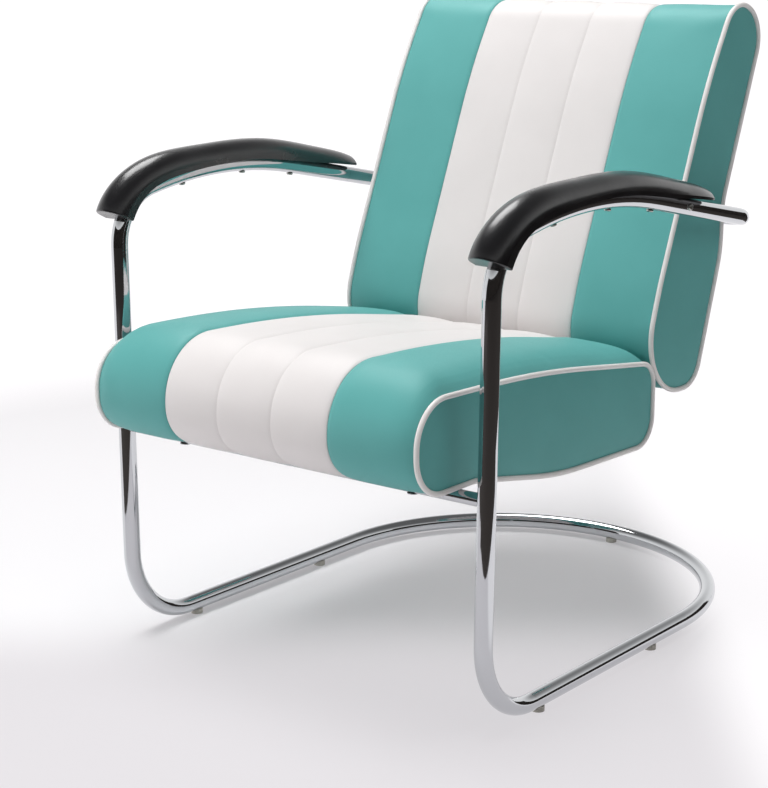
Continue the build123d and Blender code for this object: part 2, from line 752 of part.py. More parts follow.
# Covers: padded panels round each core, crowned between their seams, with piping and domed side panels
channel_middle = (channel_half_width + centre_half_width) / 2
channels = [
    (-centre_half_width, -channel_middle, -channel_half_width),
    (-channel_half_width, 0.0, channel_half_width),
    (channel_half_width, channel_middle, centre_half_width),
]
cushions = {"seat": (seat, seat_core, seat_bolts), "back": (back, back_core, sleeve_room.part)}
for name, (cushion, foam_core, through_bolts) in cushions.items():
    with BuildPart() as centre_cover:
        for first, middle, last in channels:
            loft([
                cushion.section(first, seam_crown, seam_tuck),
                cushion.section(middle, 1.0),
                cushion.section(last, seam_crown, seam_tuck),
            ])
        add(foam_core, mode=Mode.SUBTRACT)
    save(centre_cover.part, f"{name}_centre_cover")

    for side, hand in (("left", -1), ("right", 1)):
        with BuildPart() as stripe:
            loft([
                *(cushion.section(hand * (cover_end - inset), crown) for inset, crown in crown_profile),
                cushion.section(hand * centre_half_width, seam_crown, seam_tuck),
            ])
            add(foam_core, mode=Mode.SUBTRACT)
            add(through_bolts, mode=Mode.SUBTRACT)
            add(bracket_slots, mode=Mode.SUBTRACT)
        save(stripe.part, f"{name}_{side}_stripe")

        side_stations = [
            (cover_end, piping_r + soft_fit),
            (cover_end + side_shoulder, side_shoulder + piping_r + soft_fit),
            (cover_end + side_crown, side_draw_in),
        ]
        with BuildPart() as side_panel:
            loft([cushion.section(hand * x, tuck=draw) for x, draw in side_stations])
        save(side_panel.part, f"{name}_{side}_side")

        corners, radii = cushion.outline()
        with BuildLine(Plane.YZ.offset(hand * cushion_half_width)) as seam:
            FilletPolyline(*corners, radius=radii, close=True)
        with BuildPart() as piping:
            with BuildSketch(Plane(seam.wire() @ 0, z_dir=seam.wire() % 0)):
                Circle(piping_r)
            sweep(path=seam.wire())
        save(piping.part, f"{name}_{side}_piping")
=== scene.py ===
"""Looks of a cantilever lounge chair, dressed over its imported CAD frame.

The bent tubes, the armrests, the glides and the hidden fittings keep their CAD shapes and get their
finishes here. The cushions are built again as sewn covers: panels that a cloth simulation swells between
their seams, domed side panels and piping. The screws under the arms are built again with domed socket
heads, and the bolts under the seat with low ones. A pale studio surrounds the chair.
"""

import logging
from dataclasses import dataclass
from enum import Enum
from math import cos, pi, radians, sin

import bmesh
import bpy
import numpy as np
from bpy.types import ID, Material, Mesh, Node, NodeSocket, NodeTree, Object
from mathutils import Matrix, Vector


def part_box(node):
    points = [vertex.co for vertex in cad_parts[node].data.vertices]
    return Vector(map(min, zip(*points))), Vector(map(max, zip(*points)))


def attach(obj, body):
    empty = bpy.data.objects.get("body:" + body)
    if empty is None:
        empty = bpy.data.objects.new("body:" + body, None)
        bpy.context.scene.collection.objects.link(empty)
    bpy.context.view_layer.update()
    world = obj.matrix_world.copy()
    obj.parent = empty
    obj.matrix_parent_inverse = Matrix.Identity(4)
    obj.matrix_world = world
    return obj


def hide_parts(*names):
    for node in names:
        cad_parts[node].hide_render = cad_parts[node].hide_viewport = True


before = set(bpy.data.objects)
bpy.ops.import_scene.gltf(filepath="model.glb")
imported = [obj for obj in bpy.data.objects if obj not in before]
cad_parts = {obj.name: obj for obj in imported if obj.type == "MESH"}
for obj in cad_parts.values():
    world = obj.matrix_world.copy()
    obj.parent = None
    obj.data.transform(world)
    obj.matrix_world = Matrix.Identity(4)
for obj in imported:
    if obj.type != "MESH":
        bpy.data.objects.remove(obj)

MM = 0.001
# Metres between the bands of a wave texture of scale 1
WAVE_STEP = 0.314
# Points of a CAD mesh that are closer than this are one
MERGE = 0.001 * MM
CORD_SIDES = 16
BODY = "root"
PHOTO_HEIGHT = 788
log = logging.getLogger("lounge_chair")


class Side(Enum):
    """Side of the chair as the photo shows it, with the sign of its X."""

    LEFT = -1
    RIGHT = 1

    @property
    def word(self) -> str:
        """The side's word in node names."""
        return self.name.lower()


def linear(hex_colour: str) -> tuple[float, float, float, float]:
    """Turn an sRGB hex colour into a linear one.

    Args:
        hex_colour: colour such as "#68A8A2".
    Returns:
        Red, green, blue and alpha, linear.
    """
    values = [int(hex_colour[i : i + 2], 16) / 255 for i in (1, 3, 5)]
    red, green, blue = (v / 12.92 if v <= 0.04045 else ((v + 0.055) / 1.055) ** 2.4 for v in values)
    return red, green, blue, 1.0


def set_inputs(tree: NodeTree, node: Node, inputs: dict) -> None:
    """Set or link a node's inputs.

    Args:
        tree: the node's tree.
        node: the node.
        inputs: a value or an output socket for each input, by name or number.
    """
    for key, value in inputs.items():
        if isinstance(value, NodeSocket):
            tree.links.new(value, node.inputs[key])
        else:
            node.inputs[key].default_value = value


def add_node(tree: NodeTree, kind: str, settings: dict | None = None, inputs: dict | None = None) -> Node:
    """Add a node to a tree, with its settings and its inputs.

    Args:
        tree: tree that takes the node.
        kind: Blender's name for the kind of node.
        settings: values of the node's own attributes.
        inputs: a value or an output socket for each input, by name or number.
    Returns:
        The new node.
    """
    node = tree.nodes.new(kind)
    for key, value in (settings or {}).items():
        setattr(node, key, value)
    set_inputs(tree, node, inputs or {})
    return node


@dataclass(frozen=True)
class Finish:
    """A finish: the material's name and the record's slot that it dresses.

    The name is never a slot's own, because the frame's plain materials bear those names.
    """

    name: str
    slot: str

    def shade(self, tree: NodeTree, place: NodeSocket) -> dict:
        """Add the nodes of the finish. Each kind of finish has its own.

        Args:
            tree: the material's node tree.
            place: Object coordinates, in metres.
        Returns:
            A value or an output socket for inputs of the Principled shader.
        """
        raise NotImplementedError

    def material(self) -> Material:
        """Make the material, or find it if it is made.

        Returns:
            The finish's material.
        """
        made = bpy.data.materials.get(self.name)
        if made is None:
            made = bpy.data.materials.new(self.name)
            made.use_nodes = True
            tree = made.node_tree
            place = add_node(tree, "ShaderNodeTexCoord").outputs["Object"]
            set_inputs(tree, tree.nodes["Principled BSDF"], self.shade(tree, place))
        return made

    def dress(self, piece: Object) -> None:
        """Give a piece this finish alone."""
        piece.data.materials.clear()
        piece.data.materials.append(self.material())


@dataclass(frozen=True)
class ChromePlate(Finish):
    """Bright chrome on drawn steel tube: a mirror with long shallow waves and faint wiping marks."""

    colour: str = "#C9CBCE"
    roughness: float = 0.045
    smear_mm: float = 22.0
    wave_mm: float = 60.0
    wave_depth_mm: float = 0.05

    def shade(self, tree: NodeTree, place: NodeSocket) -> dict:
        """Set up a mirror whose gloss and level vary a little."""
        smear = add_node(
            tree,
            "ShaderNodeTexNoise",
            inputs={"Vector": place, "Scale": 1 / (self.smear_mm * MM), "Detail": 4.0},
        )
        gloss = add_node(
            tree,
            "ShaderNodeMapRange",
            inputs={
                "Value": smear.outputs["Fac"],
                "From Min": 0.35,
                "From Max": 0.7,
                "To Min": self.roughness * 0.6,
                "To Max": self.roughness * 1.8,
            },
        )
        wave = add_node(
            tree,
            "ShaderNodeTexNoise",
            inputs={"Vector": place, "Scale": 1 / (self.wave_mm * MM), "Detail": 1.0},
        )
        bump = add_node(
            tree,
            "ShaderNodeBump",
            inputs={"Height": wave.outputs["Fac"], "Distance": self.wave_depth_mm * MM, "Strength": 0.6},
        )
        return {
            "Base Color": linear(self.colour),
            "Metallic": 1.0,
            "Roughness": gloss.outputs["Result"],
            "Normal": bump.outputs["Normal"],
        }


@dataclass(frozen=True)
class PlatedSteel(Finish):
    """Zinc or nickel on turned and pressed steel: dull bright metal with a fine grain from the tool."""

    colour: str = "#B9B8B4"
    roughness: float = 0.3
    grain_mm: float = 0.8

    def shade(self, tree: NodeTree, place: NodeSocket) -> dict:
        """Set up a metal with a grainy gloss."""
        grain = add_node(
            tree,
            "ShaderNodeTexNoise",
            inputs={"Vector": place, "Scale": 1 / (self.grain_mm * MM), "Detail": 3.0},
        )
        gloss = add_node(
            tree,
            "ShaderNodeMapRange",
            inputs={
                "Value": grain.outputs["Fac"],
                "To Min": self.roughness * 0.7,
                "To Max": self.roughness * 1.4,
            },
        )
        return {
            "Base Color": linear(self.colour),
            "Metallic": 1.0,
            "Roughness": gloss.outputs["Result"],
        }


@dataclass(frozen=True)
class SatinLacquer(Finish):
    """Black lacquer sprayed on shaped beech: a deep black under a satin coat that is softly uneven."""

    colour: str = "#09080A"
    worn_colour: str = "#121115"
    roughness: float = 0.32
    coat: float = 0.5
    coat_roughness: float = 0.15
    level_mm: float = 9.0
    level_depth_mm: float = 0.03
    rub_mm: float = 45.0

    def shade(self, tree: NodeTree, place: NodeSocket) -> dict:
        """Set up a coated black with a rubbed tone and a faint spray level."""
        rub = add_node(
            tree,
            "ShaderNodeTexNoise",
            inputs={"Vector": place, "Scale": 1 / (self.rub_mm * MM), "Detail": 3.0},
        )
        tone = add_node(
            tree,
            "ShaderNodeMix",
            settings={"data_type": "RGBA"},
            inputs={"Factor": rub.outputs["Fac"], 6: linear(self.colour), 7: linear(self.worn_colour)},
        )
        gloss = add_node(
            tree,
            "ShaderNodeMapRange",
            inputs={
                "Value": rub.outputs["Fac"],
                "From Min": 0.3,
                "From Max": 0.7,
                "To Min": self.roughness * 0.85,
                "To Max": self.roughness * 1.2,
            },
        )
        level = add_node(
            tree,
            "ShaderNodeTexNoise",
            inputs={"Vector": place, "Scale": 1 / (self.level_mm * MM), "Detail": 2.0},
        )
        bump = add_node(
            tree,
            "ShaderNodeBump",
            inputs={"Height": level.outputs["Fac"], "Distance": self.level_depth_mm * MM, "Strength": 0.5},
        )
        return {
            "Base Color": tone.outputs[2],
            "Roughness": gloss.outputs["Result"],
            "Normal": bump.outputs["Normal"],
            "Coat Weight": self.coat,
            "Coat Roughness": self.coat_roughness,
        }


@dataclass(frozen=True)
class Leatherette(Finish):
    """Vinyl-faced cloth pressed with a fine hide grain: an even colour, a soft sheen and shallow pebbles.

    The grain is drawn coarser than the real half millimetre, because a finer one wouldn't show.
    """

    colour: str
    deep_colour: str
    roughness: float = 0.5
    sheen_level: float = 0.38
    grain_mm: float = 1.5
    grain_depth_mm: float = 0.05
    cloud_mm: float = 70.0

    def shade(self, tree: NodeTree, place: NodeSocket) -> dict:
        """Set up a clouded colour with a pebbled, softly shining surface."""
        cloud = add_node(
            tree,
            "ShaderNodeTexNoise",
            inputs={"Vector": place, "Scale": 1 / (self.cloud_mm * MM), "Detail": 3.0},
        )
        share = add_node(
            tree,
            "ShaderNodeMapRange",
            inputs={"Value": cloud.outputs["Fac"], "From Min": 0.3, "From Max": 0.7, "To Max": 0.6},
        )
        pebble = add_node(
            tree,
            "ShaderNodeTexVoronoi",
            settings={"feature": "SMOOTH_F1"},
            inputs={"Vector": place, "Scale": 1 / (self.grain_mm * MM), "Smoothness": 0.6},
        )
        tone = add_node(
            tree,
            "ShaderNodeMix",
            settings={"data_type": "RGBA"},
            inputs={"Factor": share.outputs["Result"], 6: linear(self.colour), 7: linear(self.deep_colour)},
        )
        gloss = add_node(
            tree,
            "ShaderNodeMapRange",
            inputs={
                "Value": pebble.outputs["Distance"],
                "From Max": 0.6,
                "To Min": self.roughness * 0.9,
                "To Max": self.roughness * 1.15,
            },
        )
        bump = add_node(
            tree,
            "ShaderNodeBump",
            settings={"invert": True},
            inputs={
                "Height": pebble.outputs["Distance"],
                "Distance": self.grain_depth_mm * MM,
                "Strength": 0.35,
            },
        )
        return {
            "Base Color": tone.outputs[2],
            "Roughness": gloss.outputs["Result"],
            "Normal": bump.outputs["Normal"],
            "Specular IOR Level": self.sheen_level,
        }


@dataclass(frozen=True)
class MouldedNylon(Finish):
    """Natural nylon from a mould: a milky, slightly clouded white with a dull skin."""

    colour: str = "#DAD7CE"
    scuffed_colour: str = "#BDB9AE"
    roughness: float = 0.5
    scuff_mm: float = 6.0

    def shade(self, tree: NodeTree, place: NodeSocket) -> dict:
        """Set up a clouded plastic."""
        scuff = add_node(
            tree,
            "ShaderNodeTexNoise",
            inputs={"Vector": place, "Scale": 1 / (self.scuff_mm * MM), "Detail": 3.0},
        )
        tone = add_node(
            tree,
            "ShaderNodeMix",
            settings={"data_type": "RGBA"},
            inputs={"Factor": scuff.outputs["Fac"], 6: linear(self.colour), 7: linear(self.scuffed_colour)},
        )
        return {
            "Base Color": tone.outputs[2],
            "Roughness": self.roughness,
        }


@dataclass(frozen=True)
class BirchPlywood(Finish):
    """Sanded birch plywood: pale flat veneers, darker glue lines between them and a fine fibre."""

    colour: str = "#C9A877"
    glue_colour: str = "#8E6A42"
    veneer_mm: float = 1.5
    fibre_mm: float = 3.0
    roughness: float = 0.6

    def shade(self, tree: NodeTree, place: NodeSocket) -> dict:
        """Set up a fibrous wood with its veneers on edge."""
        stretch = add_node(tree, "ShaderNodeMapping", inputs={"Vector": place, "Scale": (1.0, 0.1, 1.0)})
        fibre = add_node(
            tree,
            "ShaderNodeTexNoise",
            inputs={"Vector": stretch.outputs[0], "Scale": 1 / (self.fibre_mm * MM), "Detail": 5.0},
        )
        layers = add_node(
            tree,
            "ShaderNodeTexWave",
            settings={"bands_direction": "Z"},
            inputs={"Vector": place, "Scale": WAVE_STEP / (2 * self.veneer_mm * MM), "Distortion": 0.4},
        )
        share = add_node(
            tree,
            "ShaderNodeMath",
            settings={"operation": "MULTIPLY"},
            inputs={0: fibre.outputs["Fac"], 1: layers.outputs["Fac"]},
        )
        tone = add_node(
            tree,
            "ShaderNodeMix",
            settings={"data_type": "RGBA"},
            inputs={"Factor": share.outputs[0], 6: linear(self.colour), 7: linear(self.glue_colour)},
        )
        return {
            "Base Color": tone.outputs[2],
            "Roughness": self.roughness,
        }


CHROME = ChromePlate("chrome_plate", "chromed_tube")
LACQUER = SatinLacquer("black_satin_lacquer", "black_lacquer")
NICKEL = PlatedSteel("nickel_plated_steel", "nickel_screws")
ZINC = PlatedSteel("zinc_plated_steel", "zinc_steel", colour="#A9ABAC", roughness=0.38)
NYLON = MouldedNylon("moulded_nylon", "glide_nylon")
PLYWOOD = BirchPlywood("birch_plywood", "plywood")
TURQUOISE = Leatherette("turquoise_grained_vinyl", "turquoise_leatherette", "#5FA8A5", "#58A09D")
WHITE = Leatherette("white_grained_vinyl", "white_leatherette", "#DFDBDA", "#DAD6D5")
PIPING = Leatherette("white_piping_vinyl", "white_piping", "#EBE8E6", "#E2DEDC", roughness=0.36)


def add_object(name: str, data: ID) -> Object:
    """Put a new object with its data into the scene."""
    made = bpy.data.objects.new(name, data)
    bpy.context.scene.collection.objects.link(made)
    return made


def new_piece(name: str, mesh: Mesh, finish: Finish, stands_for: list[str]) -> Object:
    """Put a finished mesh into the scene as a piece of the chair.

    Args:
        name: the piece's name.
        mesh: its mesh, in place.
        finish: its finish.
        stands_for: CAD nodes that it replaces.
    Returns:
        The piece.
    """
    piece = add_object(name, mesh)
    finish.dress(piece)
    mesh.shade_smooth()
    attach(piece, BODY)
    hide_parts(*stands_for)
    log.info("%s: %d faces, %s", name, len(mesh.polygons), finish.name)
    return piece


def section_loop(node: str, x: float) -> np.ndarray:
    """Cut a CAD node across the chair and give the outermost outline.

    Args:
        node: name of the CAD node.
        x: where the cut is.
    Returns:
        Points of the outline in order, as rows of Y and Z.
    """
    mesh = bmesh.new()
    mesh.from_mesh(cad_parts[node].data)
    bmesh.ops.remove_doubles(mesh, verts=mesh.verts, dist=MERGE)
    everything = [*mesh.verts, *mesh.edges, *mesh.faces]
    cut = bmesh.ops.bisect_plane(mesh, geom=everything, plane_co=(x, 0, 0), plane_no=(1, 0, 0))
    links: dict = {}
    for edge in cut["geom_cut"]:
        if isinstance(edge, bmesh.types.BMEdge):
            first, second = edge.verts
            links.setdefault(first, []).append(second)
            links.setdefault(second, []).append(first)
    loops = []
    while links:
        vert = next(iter(links))
        loop = []
        while vert is not None:
            loop.append((vert.co.y, vert.co.z))
            vert = next((other for other in links.pop(vert) if other in links), None)
        loops.append(np.array(loop))
    mesh.free()
    return max(loops, key=lambda loop: np.ptp(loop[:, 1]) + np.ptp(loop[:, 0]))


def even_loop(loop: np.ndarray, count: int) -> np.ndarray:
    """Spread points evenly along a closed outline, from its front at mid height and on over the top.

    Args:
        loop: points of the outline as rows of Y and Z.
        count: how many points to give.
    Returns:
        The points as rows of Y and Z.
    """
    y, z = loop[:, 0], loop[:, 1]
    if np.sum(y * np.roll(z, -1) - np.roll(y, -1) * z) > 0:
        loop = loop[::-1]
    closed = np.vstack([loop, loop[:1]])
    along = np.concatenate([[0.0], np.cumsum(np.hypot(*np.diff(closed, axis=0).T))])
    level = (loop[:, 1].min() + loop[:, 1].max()) / 2
    starts = []
    for i, ((y0, z0), (y1, z1)) in enumerate(zip(closed[:-1], closed[1:])):
        if (z0 - level) * (z1 - level) <= 0 and z0 != z1:
            share = (level - z0) / (z1 - z0)
            starts.append((y0 + share * (y1 - y0), along[i] + share * (along[i + 1] - along[i])))
    start = min(starts)[1]
    wanted = (start + np.arange(count) / count * along[-1]) % along[-1]
    return np.column_stack([np.interp(wanted, along, closed[:, k]) for k in (0, 1)])


def cubic_blend(x: float, known: list[tuple[float, np.ndarray]]) -> np.ndarray:
    """Carry outlines smoothly across a gap with the cubic through four of them.

    Args:
        x: place of the wanted outline.
        known: four places with their outlines.
    Returns:
        The outline at x.
    """
    total = np.zeros_like(known[0][1])
    for place, outline in known:
        share = 1.0
        for other, _ in known:
            if other != place:
                share *= (x - other) / (place - other)
        total += share * outline
    return total


def grid_mesh(name: str, rows: np.ndarray, round_rows: bool) -> Mesh:
    """Make a mesh of quads from rows of points that each close into a ring.

    Args:
        name: the mesh's name.
        rows: points, by row, by place along the row.
        round_rows: whether the last row joins the first.
    Returns:
        The mesh. Its faces point outwards where the rows run along +X and each ring runs from its front
        over the top.
    """
    count, ring = rows.shape[:2]
    faces = []
    for i in range(count if round_rows else count - 1):
        for j in range(ring):
            a, b = i * ring, (i + 1) % count * ring
            k = (j + 1) % ring
            faces.append((a + j, b + j, b + k, a + k))
    mesh = bpy.data.meshes.new(name)
    mesh.from_pydata(rows.reshape(-1, 3).tolist(), [], faces)
    mesh.update()
    return mesh


def close_rings(mesh: Mesh, *rings: slice) -> None:
    """Close rings of a mesh with a face each, and turn all its faces outwards.

    Args:
        mesh: the mesh.
        rings: the vertices of each ring.
    """
    skin = bmesh.new()
    skin.from_mesh(mesh)
    skin.verts.ensure_lookup_table()
    for ring in rings:
        bmesh.ops.contextual_create(skin, geom=skin.verts[ring])
    bmesh.ops.recalc_face_normals(skin, faces=skin.faces)
    skin.to_mesh(mesh)
    skin.free()


def ring_normals(rows: np.ndarray) -> np.ndarray:
    """Outward normals of rows of rings, from the neighbours along and across.

    Args:
        rows: points, by row along +X, by place along the ring.
    Returns:
        A normal of length 1 for each point.
    """
    along = np.roll(rows, -1, axis=1) - np.roll(rows, 1, axis=1)
    across = np.gradient(rows, axis=0)
    normals = np.cross(across, along)
    return normals / np.linalg.norm(normals, axis=2, keepdims=True)


@dataclass
class Cushion:
    """A sewn cushion: a sleeve of panels in channels, a side panel at each end, and piping round both."""

    name: str
    rest_direction: tuple[float, float, float]
    fill: float = 0.85
    ring_points: int = 220
    channel_steps: int = 10
    stripe_steps: int = 18
    seam_depth: float = 1.8 * MM
    seam_width: float = 2.2 * MM
    channel_share: float = 0.6
    seam_steps: tuple[float, ...] = (0.3, 0.8, 1.7, 3.2)
    seam_slack: float = 0.1 * MM
    least_step: float = 0.3 * MM
    cut_inset: float = 0.02 * MM
    cover_depth: float = 4.0 * MM
    bolt_head_r: float = 6.5 * MM
    bolt_room: float = 20.0 * MM
    swell_cap: float = 2.0 * MM
    free_share: float = 0.5
    rest_fade: float = 1.6
    pressure: float = 4.0
    cloth_mass: float = 0.4
    cloth_stiffness: float = 40.0
    cloth_bending: float = 2.0
    cloth_quality: int = 6
    cloth_frames: int = 20
    side_rise: float = 3.5 * MM
    side_softness: float = 16.0 * MM
    side_rings: int = 14
    side_spread: float = 1.5
    side_sink: float = 0.4

    def __post_init__(self) -> None:
        """Take the cushion's main places from its CAD nodes."""
        self.centre_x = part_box(f"{self.name}_centre_cover")[1].x
        self.seam_x = self.centre_x / 3
        low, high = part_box(f"{self.name}_right_piping")
        self.piping_x = (low.x + high.x) / 2
        self.piping_r = (high.x - low.x) / 2
        self.cover_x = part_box(f"{self.name}_right_stripe")[1].x
        self.bolt_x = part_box(f"{self.name}_bolts")[1].x - self.bolt_head_r

    def stations(self) -> list[float]:
        """Places across the right half where the cover is cut, closer together beside the seams.

        Returns:
            Values of X from the middle to the side seam.
        """
        found = {0.0}
        edges = (-self.seam_x, self.seam_x, self.centre_x, self.cover_x)
        counts = (self.channel_steps, self.channel_steps, self.stripe_steps)
        for low, high, count in zip(edges, edges[1:], counts):
            found.update(low + (high - low) * i / count for i in range(count + 1))
        for seam in (self.seam_x, self.centre_x):
            for hand in (-1, 1):
                found.update(seam + hand * step * self.seam_width for step in self.seam_steps)
        found.update(self.cover_x - step * 2 * self.seam_width for step in self.seam_steps)
        places = sorted(round(x, 6) for x in found if x > -1e-9)
        return [x for i, x in enumerate(places) if i == 0 or x - places[i - 1] > self.least_step]

    def half_sleeve(self) -> np.ndarray:
        """Rings of the right half of the cover, read from the CAD solids and carried over the bolt holes.

        Returns:
            Points, by station, by place along the ring.
        """
        places = self.stations()
        cut = {}
        for x in places:
            if abs(x - self.bolt_x) > self.bolt_room:
                centre = x <= self.centre_x
                node = f"{self.name}_centre_cover" if centre else f"{self.name}_right_stripe"
                limit = self.centre_x if centre else self.cover_x
                cut[x] = even_loop(section_loop(node, min(x, limit - self.cut_inset)), self.ring_points)
        below = [x for x in cut if x < self.bolt_x][-2:]
        above = [x for x in cut if x > self.bolt_x][:2]
        known = [(x, cut[x]) for x in below + above]
        rings = [cut[x] if x in cut else cubic_blend(x, known) for x in places]
        across = [np.full(self.ring_points, x) for x in places]
        return np.array([np.column_stack(pair) for pair in zip(across, rings)])

    def swell(self, rows: np.ndarray) -> np.ndarray:
        """Swell the cover between its seams with a cloth simulation under inner pressure.

        Args:
            rows: rings of the whole sleeve, from left to right.
        Returns:
            The same rings, moved by the cap at most.
        """
        mesh = grid_mesh(f"{self.name}_cloth", rows, False)
        cloth = add_object(f"{self.name}_cloth", mesh)
        seams = np.array([self.seam_x, self.centre_x, self.cover_x])
        pinned = [
            i * self.ring_points + j
            for i in range(len(rows))
            for j in range(self.ring_points)
            if np.abs(np.abs(rows[i, j, 0]) - seams).min() < 2 * self.seam_slack
        ]
        group = cloth.vertex_groups.new(name="seams")
        group.add(pinned, 1.0, "REPLACE")
        modifier = cloth.modifiers.new("Cloth", "CLOTH")
        settings = modifier.settings
        settings.quality = self.cloth_quality
        settings.mass = self.cloth_mass
        settings.tension_stiffness = self.cloth_stiffness
        settings.compression_stiffness = self.cloth_stiffness
        settings.bending_stiffness = self.cloth_bending
        settings.use_pressure = True
        settings.uniform_pressure_force = self.pressure
        settings.vertex_group_mass = group.name
        settings.effector_weights.gravity = 0
        modifier.collision_settings.use_self_collision = False
        scene = bpy.context.scene
        for number in range(1, self.cloth_frames + 1):
            scene.frame_set(number)
        evaluated = cloth.evaluated_get(bpy.context.evaluated_depsgraph_get())
        moved = np.empty(rows.size, np.float32)
        evaluated.data.vertices.foreach_get("co", moved)
        scene.frame_set(1)
        bpy.data.objects.remove(cloth)
        bpy.data.meshes.remove(mesh)
        shift = moved.reshape(rows.shape) - rows
        length = np.linalg.norm(shift, axis=2, keepdims=True)
        log.info("%s: the cloth moved %.2f mm at most", self.name, length.max() / MM)
        shift *= self.swell_cap * np.tanh(length / self.swell_cap) / np.maximum(length, 1e-9)
        # A point swells freely where a sitter touches, and not where the cushion rests
        facing = ring_normals(rows) @ np.array(self.rest_direction)
        free = np.clip(self.free_share - self.rest_fade * facing, 0.0, 1.0)
        return rows + shift * free[:, :, None]

    def draw_seams(self, rows: np.ndarray) -> np.ndarray:
        """Draw the cover in along its sewn lines.

        Args:
            rows: rings of the whole sleeve.
        Returns:
            The rings with a narrow valley at each seam.
        """
        x = np.abs(rows[:, :1, 0])
        depth = np.zeros_like(x)
        for seam, share in ((self.seam_x, self.channel_share), (self.centre_x, 1.0)):
            depth += share * self.seam_depth * np.exp(-np.abs(x - seam) / self.seam_width)
        return rows - ring_normals(rows) * depth[:, :, None]

    def panel(self, word: str, rows: np.ndarray, finish: Finish) -> None:
        """Make one panel of the sleeve as a closed, padded skin with turned edges.

        Args:
            word: the panel's word in node names.
            rows: its rings, from left to right.
            finish: its finish.
        """
        normals = ring_normals(rows)
        inner = [rows[k] - normals[k] * self.cover_depth for k in (-1, 0)]
        name = f"{self.name}_{word}_panel"
        mesh = grid_mesh(name, np.array([*rows, *inner]), True)
        inside = [f"{self.name}_foam"] if finish is WHITE else []
        piece = new_piece(name, mesh, finish, [f"{self.name}_{word}", *inside])

    def side_panel(self, side: Side, seam: np.ndarray) -> None:
        """Make the softly domed panel inside the piping at one end.

        Args:
            side: which end.
            seam: the side seam's ring.
        """
        outline = seam[:, 1:]
        middle = outline.mean(axis=0)
        shares = 1 - np.linspace(0, 1, self.side_rings, endpoint=False) ** self.side_spread
        rings, depths = [], []
        for share in shares:
            ring = middle + (outline - middle) * share
            gap = np.linalg.norm(ring[:, None] - outline[None], axis=2).min(axis=1)
            rings.append(ring)
            depths.append(self.side_rise * (1 - np.exp(-gap / self.side_softness)))
        x = side.value * (self.piping_x + np.array(depths) - self.side_sink * self.piping_r)
        rows = np.dstack([x, np.array(rings)])
        back = rows[[0, -1]].copy()
        back[:, :, 0] = side.value * (self.piping_x - self.cover_depth)
        name = f"{self.name}_{side.word}_side_panel"
        mesh = grid_mesh(name, np.array([*rows[::-1], *back]), False)
        close_rings(mesh, slice(self.ring_points), slice(-self.ring_points, None))
        piece = new_piece(name, mesh, TURQUOISE, [f"{self.name}_{side.word}_side"])

    def piping(self, side: Side, seam: np.ndarray) -> None:
        """Make the piping round one end, a cord swept along the side seam.

        Args:
            side: which end.
            seam: the side seam's ring.
        """
        path = seam.copy()
        path[:, 0] = side.value * self.piping_x
        name = f"{self.name}_{side.word}_welt"
        line = bpy.data.meshes.new(f"{name}_line")
        count = len(path)
        line.from_pydata(path.tolist(), [(j, (j + 1) % count) for j in range(count)], [])
        mesh = swept_cord(name, line, self.piping_r, PIPING.material())
        piece = new_piece(name, mesh, PIPING, [f"{self.name}_{side.word}_piping"])

    def build(self) -> None:
        """Build the cover, its side panels and its piping."""
        half = self.half_sleeve()
        left = half[:0:-1].copy()
        left[:, :, 0] *= -1
        rows = np.concatenate([left, half])
        rows = self.swell(rows)
        rows = self.draw_seams(rows)
        x = rows[:, 0, 0]
        seam = half[-1]
        self.panel("centre_cover", rows[np.abs(x) < self.centre_x + self.seam_slack], WHITE)
        for side in Side:
            stripe = rows[side.value * x > self.centre_x - self.seam_slack]
            self.panel(f"{side.word}_stripe", stripe, TURQUOISE)
            self.side_panel(side, seam)
            self.piping(side, seam)


def start_tree(name: str, kinds: dict[str, str]) -> tuple[NodeTree, dict[str, str]]:
    """Start a Geometry Nodes tree that takes a mesh and named inputs.

    Args:
        name: the tree's name.
        kinds: the kind of socket for each input.
    Returns:
        The tree, and the identifier of each input.
    """
    tree = bpy.data.node_groups.new(name, "GeometryNodeTree")
    sockets = tree.interface
    sockets.new_socket("Mesh", in_out="INPUT", socket_type="NodeSocketGeometry")
    identifiers = {}
    for key, kind in kinds.items():
        identifiers[key] = sockets.new_socket(key, in_out="INPUT", socket_type=kind).identifier
    sockets.new_socket("Mesh", in_out="OUTPUT", socket_type="NodeSocketGeometry")
    return tree, identifiers


def end_tree(tree: NodeTree, shape: NodeSocket, material: NodeSocket) -> None:
    """End a Geometry Nodes tree in real geometry with its material.

    Args:
        tree: the tree.
        shape: the geometry that it has made.
        material: the material's socket.
    """
    real = add_node(tree, "GeometryNodeRealizeInstances", inputs={0: shape})
    dressed = add_node(
        tree, "GeometryNodeSetMaterial", inputs={"Geometry": real.outputs[0], "Material": material}
    )
    add_node(tree, "NodeGroupOutput", inputs={0: dressed.outputs[0]})


